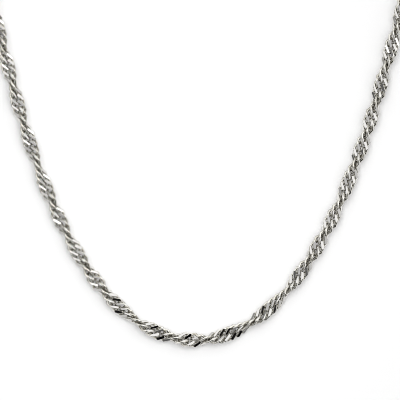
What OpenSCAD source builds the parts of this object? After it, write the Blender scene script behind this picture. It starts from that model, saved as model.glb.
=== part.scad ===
// Singapore chain necklace, lying flat as one closed loop.
// Millimetres. +Y runs from the front of the loop to the clasp, +Z is up from the surface.
// The origin is on that surface, at the middle of the loop's outer box.
// The chain is a twisted row of about 370 interlocked oval links, one every 1.2 mm.
// Here a closed tube as wide as the twist stands for that row, and its last link at each end is real.

/* [Necklace] */
// Length of the whole necklace, clasp included
necklace_len = 457; // [400:1:610]
// Radius of the bend at the lowest point of the front, which sets its hanging curve
front_bend = 18.3; // [12:0.1:26]
// Angle of the straight sides from the left-to-right line
side_angle = 75; // [65:1:82]

/* [Chain] */
// Width of the twisted chain across its lobes
chain_w = 3; // [2.6:0.1:3.6]
// Diameter of the wire that the links are bent from
link_wire_d = 0.5; // [0.4:0.02:0.6]
// Outer length of one oval link
link_len = 3.58; // [3.3:0.02:4.2]
// Outer width of one oval link
link_w = 2.98; // [2.6:0.02:3.2]

/* [Jump rings] */
// Hole of a jump ring, which takes the clasp's tube and the end link together
jump_hole_d = 2.8; // [2.7:0.1:4]
// Diameter of the jump ring's wire
jump_wire_d = 0.6; // [0.4:0.05:0.8]
// Angle that the jump rings lean at, the two of them opposite ways, 90 being upright
jump_lean = 60; // [55:1:85]

/* [Clasp] */
// Outer diameter of the clasp's round tube
clasp_d = 7; // [6:0.1:9]
// Thickness of the clasp's tube
clasp_tube_d = 1.5; // [1.1:0.05:1.7]
// Thickness of the bolt that closes the tube's mouth
bolt_d = 1; // [0.6:0.05:1.05]
// Angle that the mouth takes out of the tube
mouth_sweep = 42; // [20:1:50]
// Angle at which the mouth ends beside the thumb lug
mouth_end = 80; // [76:1:82]
// Angle that the bolt reaches into the tube at each end of the mouth
bolt_hold = 10; // [6:1:16]
// Length that the thumb lug stands out of the tube
lug_len = 0.9; // [0.5:0.1:1.5]
// Thickness of the thumb lug
lug_d = 0.7; // [0.4:0.05:1]
// Hole of the eye that the left jump ring goes through
eye_hole_d = 1.6; // [1.4:0.05:2.4]
// Diameter of the eye's wire
eye_wire_d = 0.6; // [0.4:0.05:0.8]

/* [Fit] */
// Gap that every piece keeps from the piece it hangs on
play = 0.2; // [0.1:0.02:0.3]

/* [Hidden] */
$fn = 48;

// Tube that stands for the chain: its sides, and a ring every two widths
tube_sides = 8;
tube_step = 2 * chain_w;

// Radii to the middle of each ring's wire
clasp_r = (clasp_d - clasp_tube_d) / 2;
eye_r = (eye_hole_d + eye_wire_d) / 2;
jump_r = (jump_hole_d + jump_wire_d) / 2;
link_r = (link_w - link_wire_d) / 2;
// Straight stretch in each long side of an oval link
link_flat = link_len - link_w;

// Places along the back, measured from the middle of the clasp's tube
eye_x = -(clasp_d / 2 + eye_r - eye_wire_d / 3);
jump_left_x = eye_x - eye_r + (eye_wire_d + jump_wire_d) / 2 + play - jump_r;
jump_right_x = clasp_r - (clasp_tube_d + jump_wire_d) / 2 - play + jump_r;
// From a jump ring's middle to the middle of the end link that it holds
jump_to_link = jump_r - jump_wire_d / 2 - play - link_wire_d + link_len / 2;
// From a jump ring's middle to the chain's cut end
jump_to_chain = jump_to_link + link_len / 2 + play;
// The chain's two ends lie equally far from the middle of the back
end_x = (jump_right_x - jump_left_x) / 2 + jump_to_chain;
clasp_x = -(jump_right_x + jump_left_x) / 2;

// Heights above the surface
chain_z = chain_w / 2;
jump_z = jump_r * sin(jump_lean) + jump_wire_d / 2;

// Route of the chain's middle line, from the front's lowest point to one end at the back:
// a hanging curve, a straight side and a round back, which together use up the length
route_half = necklace_len / 2 - end_x;
front_len = front_bend * tan(side_angle);
front_x = front_bend * ln(tan(side_angle) + 1 / cos(side_angle));
front_y = front_bend / cos(side_angle) - front_bend;
back_turn = (180 - side_angle) * PI / 180;
side_len = (route_half - front_len - back_turn * (front_x - end_x) / sin(side_angle))
    / (1 + back_turn * cos(side_angle) / sin(side_angle));
back_r = (front_x + side_len * cos(side_angle) - end_x) / sin(side_angle);
back_mid_y = front_y + side_len * sin(side_angle) + back_r * cos(side_angle);
back_y = back_mid_y + back_r;

// Shift that brings the middle of the outer box to the origin
outer_front_y = -chain_w / 2;
outer_back_y = back_y + clasp_d / 2 + lug_len;
shift_y = -(outer_front_y + outer_back_y) / 2;

// Each function gives [x, y, heading] on the right-hand half, s millimetres along from the front
function front_at(s) = [
    front_bend * ln(s / front_bend + sqrt(pow(s / front_bend, 2) + 1)),
    sqrt(pow(front_bend, 2) + pow(s, 2)) - front_bend,
    atan(s / front_bend)];
function side_at(s) = [
    front_x + s * cos(side_angle),
    front_y + s * sin(side_angle),
    side_angle];
function back_at(turn) = [
    end_x + back_r * sin(turn),
    back_mid_y - back_r * cos(turn),
    turn];
function half_at(s) =
    s <= front_len ? front_at(s)
    : s <= front_len + side_len ? side_at(s - front_len)
    : back_at(side_angle + (s - front_len - side_len) / back_r * 180 / PI);
function mirrored(p) = [-p.x, p.y, -p.z];
function route_at(s) = s < 0 ? mirrored(half_at(-s)) : half_at(s);

// Corners of the tube's section at one place on the route, with one flat side underneath
function tube_ring(p) = [
    for (i = [0 : tube_sides - 1])
        let (a = (i + 0.5) * 360 / tube_sides, r = chain_w / 2 / cos(180 / tube_sides))
        [p.x - r * cos(a) * sin(p.z), p.y + r * cos(a) * cos(p.z), chain_z + r * sin(a)]];

// Closed skin over rings of equal size: quads between them and a flat face at each end
module swept(rings) {
    n = len(rings[0]);
    last = (len(rings) - 1) * n;
    points = [for (ring = rings) each ring];
    skin = [for (k = [0 : len(rings) - 2], i = [0 : n - 1])
        [k * n + i, k * n + (i + 1) % n, (k + 1) * n + (i + 1) % n, (k + 1) * n + i]];
    first_cap = [for (i = [n - 1 : -1 : 0]) i];
    last_cap = [for (i = [0 : n - 1]) last + i];
    polyhedron(points, concat(skin, [first_cap, last_cap]), convexity = 10);
}

// Moves a piece from the middle of the back to its place in the loop
module at_back(x, z) {
    translate([x, back_y + shift_y, z]) children();
}

module ring(middle_r, wire_d) {
    rotate_extrude() translate([middle_r, 0]) circle(d = wire_d);
}

// Part of a ring between two angles
module ring_arc(middle_r, wire_d, from, sweep) {
    rotate([0, 0, from]) rotate_extrude(angle = sweep) translate([middle_r, 0]) circle(d = wire_d);
}

module chain() {
    steps = 2 * ceil(route_half / tube_step);
    rings = [for (k = [0 : steps]) tube_ring(route_at((2 * k / steps - 1) * route_half))];
    color([0.80, 0.79, 0.77]) translate([0, shift_y, 0]) swept(rings);
}

// Oval wire link with its length along X
module oval_link() {
    color([0.80, 0.79, 0.77]) {
        for (side = [-1, 1]) {
            translate([side * link_flat / 2, 0, 0])
                ring_arc(link_r, link_wire_d, -90 * side, 180);
            translate([-link_flat / 2, side * link_r, 0])
                rotate([0, 90, 0]) cylinder(d = link_wire_d, h = link_flat);
        }
    }
}

module jump_ring(lean) {
    color([0.85, 0.85, 0.84]) rotate([lean, 0, 0]) ring(jump_r, jump_wire_d);
}

module end_link_left() {
    at_back(clasp_x + jump_left_x - jump_to_link, chain_z) oval_link();
}

module end_link_right() {
    at_back(clasp_x + jump_right_x + jump_to_link, chain_z) oval_link();
}

module jump_ring_left() {
    at_back(clasp_x + jump_left_x, jump_z) jump_ring(jump_lean);
}

module jump_ring_right() {
    at_back(clasp_x + jump_right_x, jump_z) jump_ring(-jump_lean);
}

// Round tube with a closed mouth beside its thumb lug, and a small eye soldered on
module clasp() {
    at_back(clasp_x, jump_z) color([0.85, 0.85, 0.84]) {
        ring_arc(clasp_r, clasp_tube_d, mouth_end, 360 - mouth_sweep);
        ring_arc(clasp_r, bolt_d, mouth_end - mouth_sweep - bolt_hold, mouth_sweep + 2 * bolt_hold);
        translate([eye_x, 0, 0]) ring(eye_r, eye_wire_d);
        translate([0, clasp_r, 0]) rotate([-90, 0, 0])
            cylinder(d = lug_d, h = clasp_tube_d / 2 + lug_len - lug_d / 2);
        translate([0, clasp_d / 2 + lug_len - lug_d / 2, 0]) sphere(d = lug_d);
    }
}

chain();
end_link_left();
end_link_right();
jump_ring_left();
jump_ring_right();
clasp();
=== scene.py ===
import math
import random

import bmesh
import bpy
from bpy.props import FloatProperty, FloatVectorProperty, IntProperty, PointerProperty
from mathutils import Euler, Matrix, Vector


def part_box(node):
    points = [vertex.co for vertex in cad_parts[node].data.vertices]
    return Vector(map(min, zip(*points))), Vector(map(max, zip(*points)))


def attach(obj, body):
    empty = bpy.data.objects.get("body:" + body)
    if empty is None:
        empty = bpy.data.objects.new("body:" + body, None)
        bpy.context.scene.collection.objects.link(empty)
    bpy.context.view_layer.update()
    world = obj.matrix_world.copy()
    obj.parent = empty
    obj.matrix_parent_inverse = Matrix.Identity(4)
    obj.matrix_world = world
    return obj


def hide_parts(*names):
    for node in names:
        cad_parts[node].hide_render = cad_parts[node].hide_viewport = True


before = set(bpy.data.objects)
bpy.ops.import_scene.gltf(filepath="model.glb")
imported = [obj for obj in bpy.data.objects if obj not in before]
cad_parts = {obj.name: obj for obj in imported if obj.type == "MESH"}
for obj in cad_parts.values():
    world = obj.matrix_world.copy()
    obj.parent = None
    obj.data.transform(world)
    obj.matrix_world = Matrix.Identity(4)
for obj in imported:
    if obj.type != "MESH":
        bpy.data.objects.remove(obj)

bl_info = {
    "name": "Singapore Chain Necklace",
    "version": (1, 0, 0),
    "blender": (4, 5, 0),
    "location": "View3D > Sidebar > Necklace",
    "description": "Builds a flat-cut singapore chain necklace around its packed frame",
    "category": "Add Mesh",
}

MM = 0.001
BODY = "root"

# Places of the chain's quarter turns, in millimetres along it from the front's lowest point: it stands on
# edge at the first, lies face up at the second, and so on by turns.
QUARTER_TURNS_MM = (-58.6, -54.1, -49.4, -44.4, -41.1, -38.0, -34.2, -30.0, -26.9, -23.8, -20.7, -17.8,
                    -11.5, -7.7, -3.8, -0.7, 2.5, 6.6, 12.1, 16.1, 21.8, 26.2, 29.4, 32.5, 35.6, 38.7,
                    41.8, 46.9, 50.8, 53.9, 57.0, 60.1, 63.2)

# Corners round the wire and steps round a link, few because the link is repeated hundreds of times.
WIRE_SIDES = 6
WIRE_STEPS = 12
# Place of the cut silver in a link's list of materials, after the wire silver.
CUT_SLOT = 1
# Share of the wire within which a corner counts as lying on a cut.
CUT_TOLERANCE = 0.001
# Most that a cut's depth differs from the even one, as a share, and that its face leans, in radians.
DEPTH_SPREAD = 0.1
LEAN_SPREAD = 0.01

# Polish of each kind of metal: marks in a metre, their strength, and the share of the dull colour in a
# full dull spot.
POLISH = {
    "wire_silver": (900, 0.25, 0.8),
    "cut_silver": (300, 0.03, 0.1),
    "ring_silver": (500, 0.1, 0.4),
}
MARK_HEIGHT = 0.02 * MM
MARK_DETAIL = 4
# Noise at which a dull spot begins and at which it is full, and how much rougher the roughest spot is.
DULL_NOISE = (0.45, 0.75)
ROUGHER = 1.8

# Bright and dark parts of the studio, by the x and y of the direction towards them:
# middle x, middle y, half width, half height and, for a panel, brightness.
PANELS = {
    "overhead": (0.05, 0.38, 0.9, 0.7, 0.95),
    "right": (0.65, -0.2, 0.5, 0.7, 0.5),
    "left": (-0.7, -0.5, 0.4, 0.5, 0.5),
}
SHADES = {
    "camera": (0.0, -0.36, 0.44, 0.44),
    "stand": (0.3, -0.66, 0.2, 0.2),
}
# Brightness of the studio between them, and the share of an oval's size at which its soft edge begins.
DOME_LIGHT = 0.12
SOFT_EDGE = 0.75
# Width of the camera's sensor in millimetres, and the nearest and farthest distance that it sees in metres.
SENSOR_WIDTH = 36
SEEN_FROM, SEEN_TO = 0.01, 10


def box_middle(node):
    low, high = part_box(node)
    return (Vector(low) + Vector(high)) / 2


def box_size(node):
    low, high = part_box(node)
    return Vector(high) - Vector(low)


class LoopSizes(bpy.types.PropertyGroup):
    """The route of the chain's middle line, as the frame has it"""

    necklace_length: FloatProperty(
        name="Necklace length", description="Length of the whole loop, clasp included",
        default=457 * MM, unit="LENGTH")
    front_bend: FloatProperty(
        name="Front bend", description="Radius of the bend at the front's lowest point",
        default=18.3 * MM, unit="LENGTH")
    side_angle: FloatProperty(
        name="Side angle", description="Angle of the straight sides from the left-to-right line",
        default=math.radians(75), subtype="ANGLE")
    gap: FloatProperty(
        name="Gap", description="Gap between the chain's cut end and its end link in the frame",
        default=0.2 * MM, unit="LENGTH")


class LinkSizes(bpy.types.PropertyGroup):
    """One oval wire link and how it repeats"""

    pitch: FloatProperty(
        name="Pitch", description="Distance from one link to the next along the chain",
        default=1.2 * MM, unit="LENGTH")
    wire: FloatProperty(
        name="Wire", description="Diameter of the wire", default=0.5 * MM, unit="LENGTH")
    half_length: FloatProperty(
        name="Half length", description="From the link's middle to the middle of the wire at its end",
        default=1.54 * MM, unit="LENGTH")
    half_width: FloatProperty(
        name="Half width", description="From the link's middle to the middle of the wire at its side",
        default=1.19 * MM, unit="LENGTH")
    bunching: FloatProperty(
        name="Bunching", description="Angle by which points round the link move towards its ends and sides",
        default=math.radians(16), subtype="ANGLE")
    saddle: FloatProperty(
        name="Saddle", description="How far the wire rises and falls round the link",
        default=0.24 * MM, unit="LENGTH")
    widening: FloatProperty(
        name="Widening", description="Share by which pressing spreads the wire at the link's corners",
        default=0.8, min=0)
    cut_depth: FloatProperty(
        name="Cut depth", description="How deep the flat cuts go into the raised wire",
        default=0.13 * MM, unit="LENGTH")
    lead: FloatProperty(
        name="Lead", description="How far the middle link is drawn to the right of its even place",
        default=0.3 * MM, unit="LENGTH")
    half_twist: FloatProperty(
        name="Half twist", description="Length of chain over which it turns half round",
        default=7.56 * MM, unit="LENGTH")
    blend: FloatProperty(
        name="Blend", description="Length to each side over which the twist is evened out",
        default=1.512 * MM, unit="LENGTH")
    sway: FloatProperty(
        name="Sway", description="Most that a link leans off its even place",
        default=math.radians(1.0), subtype="ANGLE")
    shapes: IntProperty(
        name="Shapes", description="How many slightly different links are mixed", default=6, min=1)
    seed: IntProperty(
        name="Seed", description="Start of the random row that mixes and sways the links", default=7)


class SilverFinish(bpy.types.PropertyGroup):
    """Colours and polish of the metal"""

    silver: FloatVectorProperty(
        name="Silver", description="Colour of the clean metal", subtype="COLOR", size=4,
        min=0, max=1, default=(0.92, 0.906, 0.853, 1))
    dull: FloatVectorProperty(
        name="Dull silver", description="Colour where handling has dulled the metal", subtype="COLOR",
        size=4, min=0, max=1, default=(0.62, 0.587, 0.495, 1))
    # Painted shade: this dark colour stands in for the shade deep between the links.
    painted_shade: FloatVectorProperty(
        name="Hollow silver", description="Colour of the metal deep between the links", subtype="COLOR",
        size=4, min=0, max=1, default=(0.13, 0.116, 0.085, 1))
    wire_roughness: FloatProperty(
        name="Wire roughness", description="Roughness of the round wire", default=0.12, min=0, max=1)
    cut_roughness: FloatProperty(
        name="Cut roughness", description="Roughness of the flat cuts", default=0.04, min=0, max=1)
    ring_roughness: FloatProperty(
        name="Ring roughness", description="Roughness of the jump rings and clasp",
        default=0.1, min=0, max=1)


class StudioSizes(bpy.types.PropertyGroup):
    """Camera, surface and lights of the stage"""

    view_width: FloatProperty(
        name="View width", description="Width of the part of the surface that the camera sees",
        default=80 * MM, unit="LENGTH")
    camera_height: FloatProperty(
        name="Camera height", description="Height of the camera over the surface",
        default=0.5, unit="LENGTH")
    front_from_middle: FloatVectorProperty(
        name="Front from middle", description="Front's lowest point from the middle of the view",
        default=(-0.91 * MM, -27.93 * MM, 0), subtype="TRANSLATION")
    roll: FloatProperty(
        name="Camera roll", description="Turn of the camera about its own line of sight",
        default=math.radians(0.52), subtype="ANGLE")
    surface_size: FloatProperty(
        name="Surface size", description="Side of the square surface", default=3.0, unit="LENGTH")
    softbox_size: FloatProperty(
        name="Softbox size", description="Side of the near square softbox", default=0.09, unit="LENGTH")
    softbox_place: FloatVectorProperty(
        name="Softbox place", description="Where the near softbox hangs",
        default=(-0.015, -0.06, 0.13), subtype="TRANSLATION")
    softbox_power: FloatProperty(
        name="Softbox power", description="Power of the near softbox in watts", default=0.055, min=0)
    far_size: FloatProperty(
        name="Far softbox size", description="Side of the far square softbox", default=0.8, unit="LENGTH")
    far_height: FloatProperty(
        name="Far softbox height", description="Height of the far softbox", default=0.7, unit="LENGTH")
    far_power: FloatProperty(
        name="Far softbox power", description="Power of the far softbox in watts", default=1.45, min=0)
    surface: FloatVectorProperty(
        name="Surface colour", description="Colour of the surface", subtype="COLOR", size=4,
        min=0, max=1, default=(0.93, 0.93, 0.93, 1))
    surface_roughness: FloatProperty(
        name="Surface roughness", description="Roughness of the surface", default=0.8, min=0, max=1)
    surface_shine: FloatProperty(
        name="Surface shine", description="Strength of the surface's reflections", default=0.1, min=0, max=1)
    picture_softness: FloatProperty(
        name="Picture softness", description="Width in pixels that each point of the picture is spread over",
        default=0.75, min=0.01, max=10)


def sizes(context):
    return context.scene.necklace_loop, context.scene.necklace_link


class Route:
    """The chain's middle line: a hanging curve, a straight side and a round back on each half."""

    def __init__(self, loop):
        bend, angle = loop.front_bend, loop.side_angle
        sine, cosine = math.sin(angle), math.cos(angle)
        self.bend, self.angle = bend, angle
        self.height = box_size("chain").z / 2
        self.back_y = box_middle("end_link_right").y
        self.end_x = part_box("end_link_right")[1][0] + loop.gap
        self.half = loop.necklace_length / 2 - self.end_x
        self.last_link = self.half + loop.gap + box_size("end_link_right").x / 2
        self.front_length = bend * math.tan(angle)
        self.front_x = bend * math.asinh(math.tan(angle))
        self.front_rise = bend / cosine - bend
        turn = math.pi - angle
        straight = self.half - self.front_length - turn * (self.front_x - self.end_x) / sine
        self.side_length = straight / (1 + turn * cosine / sine)
        self.back_radius = (self.front_x + self.side_length * cosine - self.end_x) / sine
        rise = self.front_rise + self.side_length * sine + self.back_radius * (1 + cosine)
        self.front_y = self.back_y - rise
        self.back_middle = self.back_y - self.back_radius

    def at(self, s):
        """x, y and heading, s metres along the chain from the front's lowest point."""
        side = -1 if s < 0 else 1
        s = abs(s)
        if s <= self.front_length:
            x = self.bend * math.asinh(s / self.bend)
            y = self.front_y + math.hypot(self.bend, s) - self.bend
            heading = math.atan(s / self.bend)
        elif s <= self.front_length + self.side_length:
            run = s - self.front_length
            x = self.front_x + run * math.cos(self.angle)
            y = self.front_y + self.front_rise + run * math.sin(self.angle)
            heading = self.angle
        elif s <= self.half:
            heading = self.angle + (s - self.front_length - self.side_length) / self.back_radius
            x = self.end_x + self.back_radius * math.sin(heading)
            y = self.back_middle - self.back_radius * math.cos(heading)
        else:
            heading = math.pi
            x = self.end_x - (s - self.half)
            y = self.back_y
        return side * x, y, side * heading


class Twist:
    """How far the chain has turned about its own line: by the chart in front, evenly beyond it."""

    def __init__(self, link, end):
        places = [place * MM for place in QUARTER_TURNS_MM]
        turns = [math.pi / 2 * (i + 1) for i in range(len(places))]
        for side, place, turn in ((-1, places[0], turns[0]), (1, places[-1], turns[-1])):
            # Half turns from the chart's end, where the chain is on edge, to the end link, which lies flat.
            halves = round((end - abs(place)) / link.half_twist - 0.5) + 0.5
            index = 0 if side < 0 else len(places)
            places.insert(index, side * end)
            turns.insert(index, turn + side * halves * math.pi)
        self.places, self.turns = places, turns
        self.blend = link.blend

    def chart(self, s):
        """The turn at s, straight from one charted place to the next."""
        if s <= self.places[0]:
            return self.turns[0]
        for i in range(1, len(self.places)):
            if s <= self.places[i]:
                share = (s - self.places[i - 1]) / (self.places[i] - self.places[i - 1])
                return self.turns[i - 1] + share * (self.turns[i] - self.turns[i - 1])
        return self.turns[-1]

    def at(self, s):
        """The turn at s, evened out over the blend to each side."""
        steps = (-1, -0.5, 0, 0.5, 1)
        return sum(self.chart(s + step * self.blend) for step in steps) / len(steps)


def link_middle(size, turn):
    """A point of the wire's middle line round the oval, which rises and falls twice."""
    place = turn - size.bunching * math.sin(4 * turn)
    return Vector((
        size.half_length * math.cos(place),
        size.half_width * math.sin(place),
        -size.saddle * math.sin(2 * turn)))


def new_link(size, depth, lean):
    """A round ring spun from one circle, bent to the oval saddle and cut flat on both faces."""
    bm = bmesh.new()
    ring = size.half_length
    bmesh.ops.create_circle(bm, segments=WIRE_SIDES, radius=size.wire / 2)
    bmesh.ops.rotate(bm, verts=bm.verts, matrix=Matrix.Rotation(math.pi / 2, 3, "X"))
    bmesh.ops.translate(bm, verts=bm.verts, vec=(ring, 0, 0))
    bmesh.ops.spin(bm, geom=bm.verts[:] + bm.edges[:], axis=(0, 0, 1), cent=(0, 0, 0),
                   steps=WIRE_STEPS, angle=2 * math.pi, use_merge=True)
    step = 2 * math.pi / WIRE_STEPS
    # The wire is bent and, at its four corners, pressed wider.
    for vert in bm.verts:
        turn = math.atan2(vert.co.y, vert.co.x)
        out = math.hypot(vert.co.x, vert.co.y) - ring
        middle = link_middle(size, turn)
        along = (link_middle(size, turn + step) - link_middle(size, turn - step)).normalized()
        outward = along.cross(Vector((0, 0, 1))).normalized()
        up = outward.cross(along)
        pressed = math.sin(2 * turn) ** 2
        wide = out * (1 + size.widening * pressed) if out > 0 else out
        vert.co = middle + wide * outward + vert.co.z * up
    bmesh.ops.recalc_face_normals(bm, faces=bm.faces)
    for face in bm.faces:
        face.smooth = True
    top = size.saddle + size.wire / 2 - depth
    # Painted shade: the colour turns dark at the link's ends at mid-height, deep between the interlocked
    # links where they shade each other, and stays clean silver on the outer parts.
    unshaded_share = bm.verts.layers.float.new("unshaded_share")
    for vert in bm.verts:
        height = abs(vert.co.z) / top
        side = abs(vert.co.y) / size.half_width
        vert[unshaded_share] = min(1, max(height ** 3, side ** 2))
    for side in (1, -1):
        normal = Euler((*lean, 0)).to_matrix() @ Vector((0, 0, side))
        bmesh.ops.bisect_plane(bm, geom=bm.verts[:] + bm.edges[:] + bm.faces[:],
                               dist=size.wire * CUT_TOLERANCE, plane_co=normal * top, plane_no=normal,
                               clear_outer=True)
        rim = [edge for edge in bm.edges if edge.is_boundary]
        for face in bmesh.ops.edgeloop_fill(bm, edges=rim)["faces"]:
            face.smooth = False
            face.material_index = CUT_SLOT
            if face.normal.dot(normal) < 0:
                face.normal_flip()
        for edge in rim:
            edge.smooth = False
    mesh = bpy.data.meshes.new("link")
    bm.to_mesh(mesh)
    bm.free()
    return mesh


def place_link(bm, mesh, matrix):
    """Adds a copy of a link to the piece, at its place."""
    start = len(bm.verts)
    bm.from_mesh(mesh)
    bm.verts.ensure_lookup_table()
    bmesh.ops.transform(bm, matrix=matrix, verts=bm.verts[start:])


def link_matrix(route, twist, s, sway):
    """The place of the link whose middle is s metres along the chain."""
    x, y, heading = route.at(s)
    lie = Matrix.Translation((x, y, route.height)) @ Matrix.Rotation(heading, 4, "Z")
    return lie @ Matrix.Rotation(twist.at(s), 4, "X") @ Euler(sway).to_matrix().to_4x4()


def new_piece(name, bm, materials, slot, *nodes):
    """The finished object, which takes the place of the frame's nodes."""
    mesh = bpy.data.meshes.new(name)
    bm.to_mesh(mesh)
    bm.free()
    piece = bpy.data.objects.new(name, mesh)
    bpy.context.scene.collection.objects.link(piece)
    for material in materials:
        mesh.materials.append(material)
    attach(piece, BODY)
    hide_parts(*nodes)


def polish_group():
    """Fine random polish marks: a mask of duller spots and a slightly uneven normal."""
    name = "polish_marks"
    if name in bpy.data.node_groups:
        return bpy.data.node_groups[name]
    group = bpy.data.node_groups.new(name, "ShaderNodeTree")
    face = group.interface
    face.new_socket("Scale", in_out="INPUT", socket_type="NodeSocketFloat")
    face.new_socket("Strength", in_out="INPUT", socket_type="NodeSocketFloat")
    face.new_socket("Dull", in_out="OUTPUT", socket_type="NodeSocketFloat")
    face.new_socket("Normal", in_out="OUTPUT", socket_type="NodeSocketVector")
    nodes, links = group.nodes, group.links
    given = nodes.new("NodeGroupInput")
    made = nodes.new("NodeGroupOutput")
    place = nodes.new("ShaderNodeTexCoord")
    noise = nodes.new("ShaderNodeTexNoise")
    noise.inputs["Detail"].default_value = MARK_DETAIL
    bump = nodes.new("ShaderNodeBump")
    bump.inputs["Distance"].default_value = MARK_HEIGHT
    links.new(place.outputs["Object"], noise.inputs["Vector"])
    links.new(given.outputs["Scale"], noise.inputs["Scale"])
    links.new(given.outputs["Strength"], bump.inputs["Strength"])
    links.new(noise.outputs["Fac"], bump.inputs["Height"])
    links.new(noise.outputs["Fac"], made.inputs["Dull"])
    links.new(bump.outputs["Normal"], made.inputs["Normal"])
    return group


def silver_material(name, finish, roughness, paints_shade=False):
    """Polished silver whose dull spots are darker and rougher, and which may carry painted shade deep
    between the links.
    """
    if name in bpy.data.materials:
        return bpy.data.materials[name]
    scale, strength, dull_share = POLISH[name]
    material = bpy.data.materials.new(name)
    material.use_nodes = True
    nodes, links = material.node_tree.nodes, material.node_tree.links
    shader = nodes["Principled BSDF"]
    shader.inputs["Metallic"].default_value = 1
    marks = nodes.new("ShaderNodeGroup")
    marks.node_tree = polish_group()
    marks.inputs["Scale"].default_value = scale
    marks.inputs["Strength"].default_value = strength
    share = nodes.new("ShaderNodeMapRange")
    share.inputs["From Min"].default_value = DULL_NOISE[0]
    share.inputs["From Max"].default_value = DULL_NOISE[1]
    share.inputs["To Max"].default_value = dull_share
    colour = nodes.new("ShaderNodeMix")
    colour.data_type = "RGBA"
    colour.inputs["A"].default_value = finish.silver
    colour.inputs["B"].default_value = finish.dull
    rough = nodes.new("ShaderNodeMapRange")
    rough.inputs["To Min"].default_value = roughness
    rough.inputs["To Max"].default_value = roughness * ROUGHER
    links.new(marks.outputs["Dull"], share.inputs["Value"])
    links.new(share.outputs["Result"], colour.inputs["Factor"])
    links.new(marks.outputs["Dull"], rough.inputs["Value"])
    # Painted shade: where the mask of unshaded share is low, the base colour turns towards the dark shade
    # colour deep between the links.
    if paints_shade:
        unshaded_share = nodes.new("ShaderNodeAttribute")
        unshaded_share.attribute_name = "unshaded_share"
        shaded = nodes.new("ShaderNodeMix")
        shaded.data_type = "RGBA"
        shaded.inputs["A"].default_value = finish.painted_shade
        links.new(unshaded_share.outputs["Fac"], shaded.inputs["Factor"])
        links.new(colour.outputs["Result"], shaded.inputs["B"])
        links.new(shaded.outputs["Result"], shader.inputs["Base Color"])
    else:
        links.new(colour.outputs["Result"], shader.inputs["Base Color"])
    links.new(rough.outputs["Result"], shader.inputs["Roughness"])
    links.new(marks.outputs["Normal"], shader.inputs["Normal"])
    return material


def wire_silver(finish):
    return silver_material("wire_silver", finish, finish.wire_roughness, paints_shade=True)


def cut_silver(finish):
    return silver_material("cut_silver", finish, finish.cut_roughness)


def ring_silver(finish):
    return silver_material("ring_silver", finish, finish.ring_roughness)


class NECKLACE_OT_chain(bpy.types.Operator):
    """Adds the row of interlocked links in place of the frame's tube"""

    bl_idname = "necklace.chain"
    bl_label = "Chain"

    def execute(self, context):
        loop, link = sizes(context)
        finish = context.scene.necklace_finish
        route = Route(loop)
        twist = Twist(link, route.last_link)
        count = round(2 * route.last_link / link.pitch)
        dice = random.Random(link.seed)
        shapes = []
        for _ in range(link.shapes):
            depth = link.cut_depth * dice.uniform(1 - DEPTH_SPREAD, 1 + DEPTH_SPREAD)
            lean = [dice.uniform(-LEAN_SPREAD, LEAN_SPREAD) for _ in range(2)]
            shapes.append(new_link(link, depth, lean))
        bm = bmesh.new()
        for i in range(1, count):
            even = 2 * i / count - 1
            s = route.last_link * even + link.lead * (1 - even * even)
            sway = [dice.uniform(-link.sway, link.sway) for _ in range(3)]
            place_link(bm, dice.choice(shapes), link_matrix(route, twist, s, sway))
        new_piece("chain_links", bm, [wire_silver(finish), cut_silver(finish)], "cut_silver", "chain")
        return {"FINISHED"}


class NECKLACE_OT_end_links(bpy.types.Operator):
    """Adds the chain's last link at each end"""

    bl_idname = "necklace.end_links"
    bl_label = "End links"

    def execute(self, context):
        loop, link = sizes(context)
        finish = context.scene.necklace_finish
        route = Route(loop)
        twist = Twist(link, route.last_link)
        shape = new_link(link, link.cut_depth, (0, 0))
        for name, side in (("end_link_left", -1), ("end_link_right", 1)):
            bm = bmesh.new()
            place_link(bm, shape, link_matrix(route, twist, side * route.last_link, (0, 0, 0)))
            new_piece(name + "_cut", bm, [wire_silver(finish), cut_silver(finish)], "cut_silver", name)
        return {"FINISHED"}


class NECKLACE_OT_fittings(bpy.types.Operator):
    """Finishes the jump rings and the clasp, whose shapes are the frame's own"""

    bl_idname = "necklace.fittings"
    bl_label = "Jump rings and clasp"

    def execute(self, context):
        finish = context.scene.necklace_finish
        for name in ("jump_ring_left", "jump_ring_right", "clasp"):
            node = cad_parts[name]
            node.data.materials.clear()
            node.data.materials.append(ring_silver(finish))
        return {"FINISHED"}


def look_down(studio, route):
    """The camera straight above the part of the loop that the view is of."""
    data = bpy.data.cameras.new("camera")
    data.sensor_width = SENSOR_WIDTH
    data.lens = data.sensor_width * studio.camera_height / studio.view_width
    data.clip_start = SEEN_FROM
    data.clip_end = SEEN_TO
    camera = bpy.data.objects.new("camera", data)
    front = Vector((0, route.front_y, 0))
    camera.location = front - Vector(studio.front_from_middle) + Vector((0, 0, studio.camera_height))
    camera.rotation_euler = (0, 0, studio.roll)
    bpy.context.scene.collection.objects.link(camera)
    bpy.context.scene.camera = camera


def softbox(name, size, place, power):
    """A square light that shines straight down and shows neither itself nor its mirror image."""
    data = bpy.data.lights.new(name, "AREA")
    data.size = size
    data.energy = power
    light = bpy.data.objects.new(name, data)
    light.location = place
    light.visible_camera = False
    light.visible_glossy = False
    bpy.context.scene.collection.objects.link(light)


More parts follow.
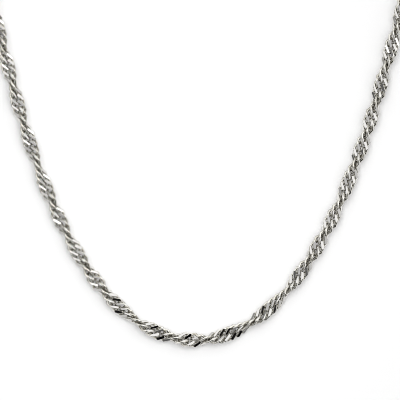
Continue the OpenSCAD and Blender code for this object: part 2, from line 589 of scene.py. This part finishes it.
def panel_group():
    """A soft-edged oval on the studio's dome, as a mask."""
    group = bpy.data.node_groups.new("studio_panel", "ShaderNodeTree")
    face = group.interface
    for name in ("Direction", "Middle", "Half size"):
        face.new_socket(name, in_out="INPUT", socket_type="NodeSocketVector")
    face.new_socket("Mask", in_out="OUTPUT", socket_type="NodeSocketFloat")
    nodes, links = group.nodes, group.links
    given = nodes.new("NodeGroupInput")
    made = nodes.new("NodeGroupOutput")
    steps = []
    for operation in ("SUBTRACT", "MULTIPLY", "DIVIDE", "LENGTH"):
        node = nodes.new("ShaderNodeVectorMath")
        node.operation = operation
        steps.append(node)
    apart, level, share, length = steps
    level.inputs[1].default_value = (1, 1, 0)
    edge = nodes.new("ShaderNodeMapRange")
    edge.interpolation_type = "SMOOTHSTEP"
    edge.inputs["From Min"].default_value = 1
    edge.inputs["From Max"].default_value = SOFT_EDGE
    links.new(given.outputs["Direction"], apart.inputs[0])
    links.new(given.outputs["Middle"], apart.inputs[1])
    links.new(apart.outputs["Vector"], level.inputs[0])
    links.new(level.outputs["Vector"], share.inputs[0])
    links.new(given.outputs["Half size"], share.inputs[1])
    links.new(share.outputs["Vector"], length.inputs[0])
    links.new(length.outputs["Value"], edge.inputs["Value"])
    links.new(edge.outputs["Result"], made.inputs["Mask"])
    return group


def studio_world():
    """A dim dome with soft bright panels and dark shades."""
    world = bpy.data.worlds.new("studio")
    world.use_nodes = True
    nodes, links = world.node_tree.nodes, world.node_tree.links
    group = panel_group()
    direction = nodes.new("ShaderNodeTexCoord").outputs["Generated"]

    def mask(x, y, half_x, half_y):
        node = nodes.new("ShaderNodeGroup")
        node.node_tree = group
        node.inputs["Middle"].default_value = (x, y, 0)
        node.inputs["Half size"].default_value = (half_x, half_y, 1)
        links.new(direction, node.inputs["Direction"])
        return node.outputs["Mask"]

    def combine(operation, first, second, added=None):
        node = nodes.new("ShaderNodeMath")
        node.operation = operation
        for socket, value in zip(node.inputs, (first, second, added)):
            if isinstance(value, (int, float)):
                socket.default_value = value
            elif value is not None:
                links.new(value, socket)
        return node.outputs["Value"]

    light = DOME_LIGHT
    for *oval, brightness in PANELS.values():
        light = combine("MULTIPLY_ADD", mask(*oval), brightness, light)
    for shade in SHADES.values():
        lit = combine("SUBTRACT", 1, mask(*shade))
        light = combine("MULTIPLY", light, lit)
    links.new(light, nodes["Background"].inputs["Strength"])
    nodes["Background"].inputs["Color"].default_value = (1, 1, 1, 1)
    bpy.context.scene.world = world


class NECKLACE_OT_stage(bpy.types.Operator):
    """Adds the white surface, the soft studio lights and the camera"""

    bl_idname = "necklace.stage"
    bl_label = "Stage"

    def execute(self, context):
        studio = context.scene.necklace_studio
        look_down(studio, Route(context.scene.necklace_loop))
        bm = bmesh.new()
        bmesh.ops.create_grid(bm, x_segments=1, y_segments=1, size=studio.surface_size / 2)
        mesh = bpy.data.meshes.new("surface")
        bm.to_mesh(mesh)
        bm.free()
        surface = bpy.data.objects.new("surface", mesh)
        context.scene.collection.objects.link(surface)
        material = bpy.data.materials.new("white_surface")
        material.use_nodes = True
        shader = material.node_tree.nodes["Principled BSDF"]
        shader.inputs["Base Color"].default_value = studio.surface
        shader.inputs["Roughness"].default_value = studio.surface_roughness
        shader.inputs["Specular IOR Level"].default_value = studio.surface_shine
        mesh.materials.append(material)
        # The near softbox throws the shadows outwards, and the far one lights the surface evenly.
        softbox("near_softbox", studio.softbox_size, studio.softbox_place, studio.softbox_power)
        softbox("far_softbox", studio.far_size, (0, 0, studio.far_height), studio.far_power)
        studio_world()
        context.scene.view_settings.view_transform = "Standard"
        context.scene.cycles.filter_width = studio.picture_softness
        return {"FINISHED"}


class NECKLACE_PT_panel(bpy.types.Panel):
    """Sizes, finish and build steps of the necklace"""

    bl_label = "Necklace"
    bl_idname = "NECKLACE_PT_panel"
    bl_space_type = "VIEW_3D"
    bl_region_type = "UI"
    bl_category = "Necklace"

    def draw(self, context):
        for group in GROUPS:
            values = getattr(context.scene, group)
            box = self.layout.box()
            for name in values.__annotations__:
                box.prop(values, name)
        for step in STEPS:
            self.layout.operator(step.bl_idname)


STEPS = (NECKLACE_OT_stage, NECKLACE_OT_chain, NECKLACE_OT_end_links, NECKLACE_OT_fittings)
GROUPS = {"necklace_loop": LoopSizes, "necklace_link": LinkSizes, "necklace_finish": SilverFinish,
          "necklace_studio": StudioSizes}


def register():
    for kind in (*GROUPS.values(), *STEPS, NECKLACE_PT_panel):
        bpy.utils.register_class(kind)
    for name, kind in GROUPS.items():
        setattr(bpy.types.Scene, name, PointerProperty(type=kind))


def unregister():
    for name in GROUPS:
        delattr(bpy.types.Scene, name)
    for kind in (NECKLACE_PT_panel, *reversed(STEPS), *reversed(GROUPS.values())):
        bpy.utils.unregister_class(kind)


def main():
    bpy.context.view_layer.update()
    register()
    bpy.ops.necklace.stage()
    bpy.ops.necklace.chain()
    bpy.ops.necklace.end_links()
    bpy.ops.necklace.fittings()


if __name__ == "__main__":
    main()
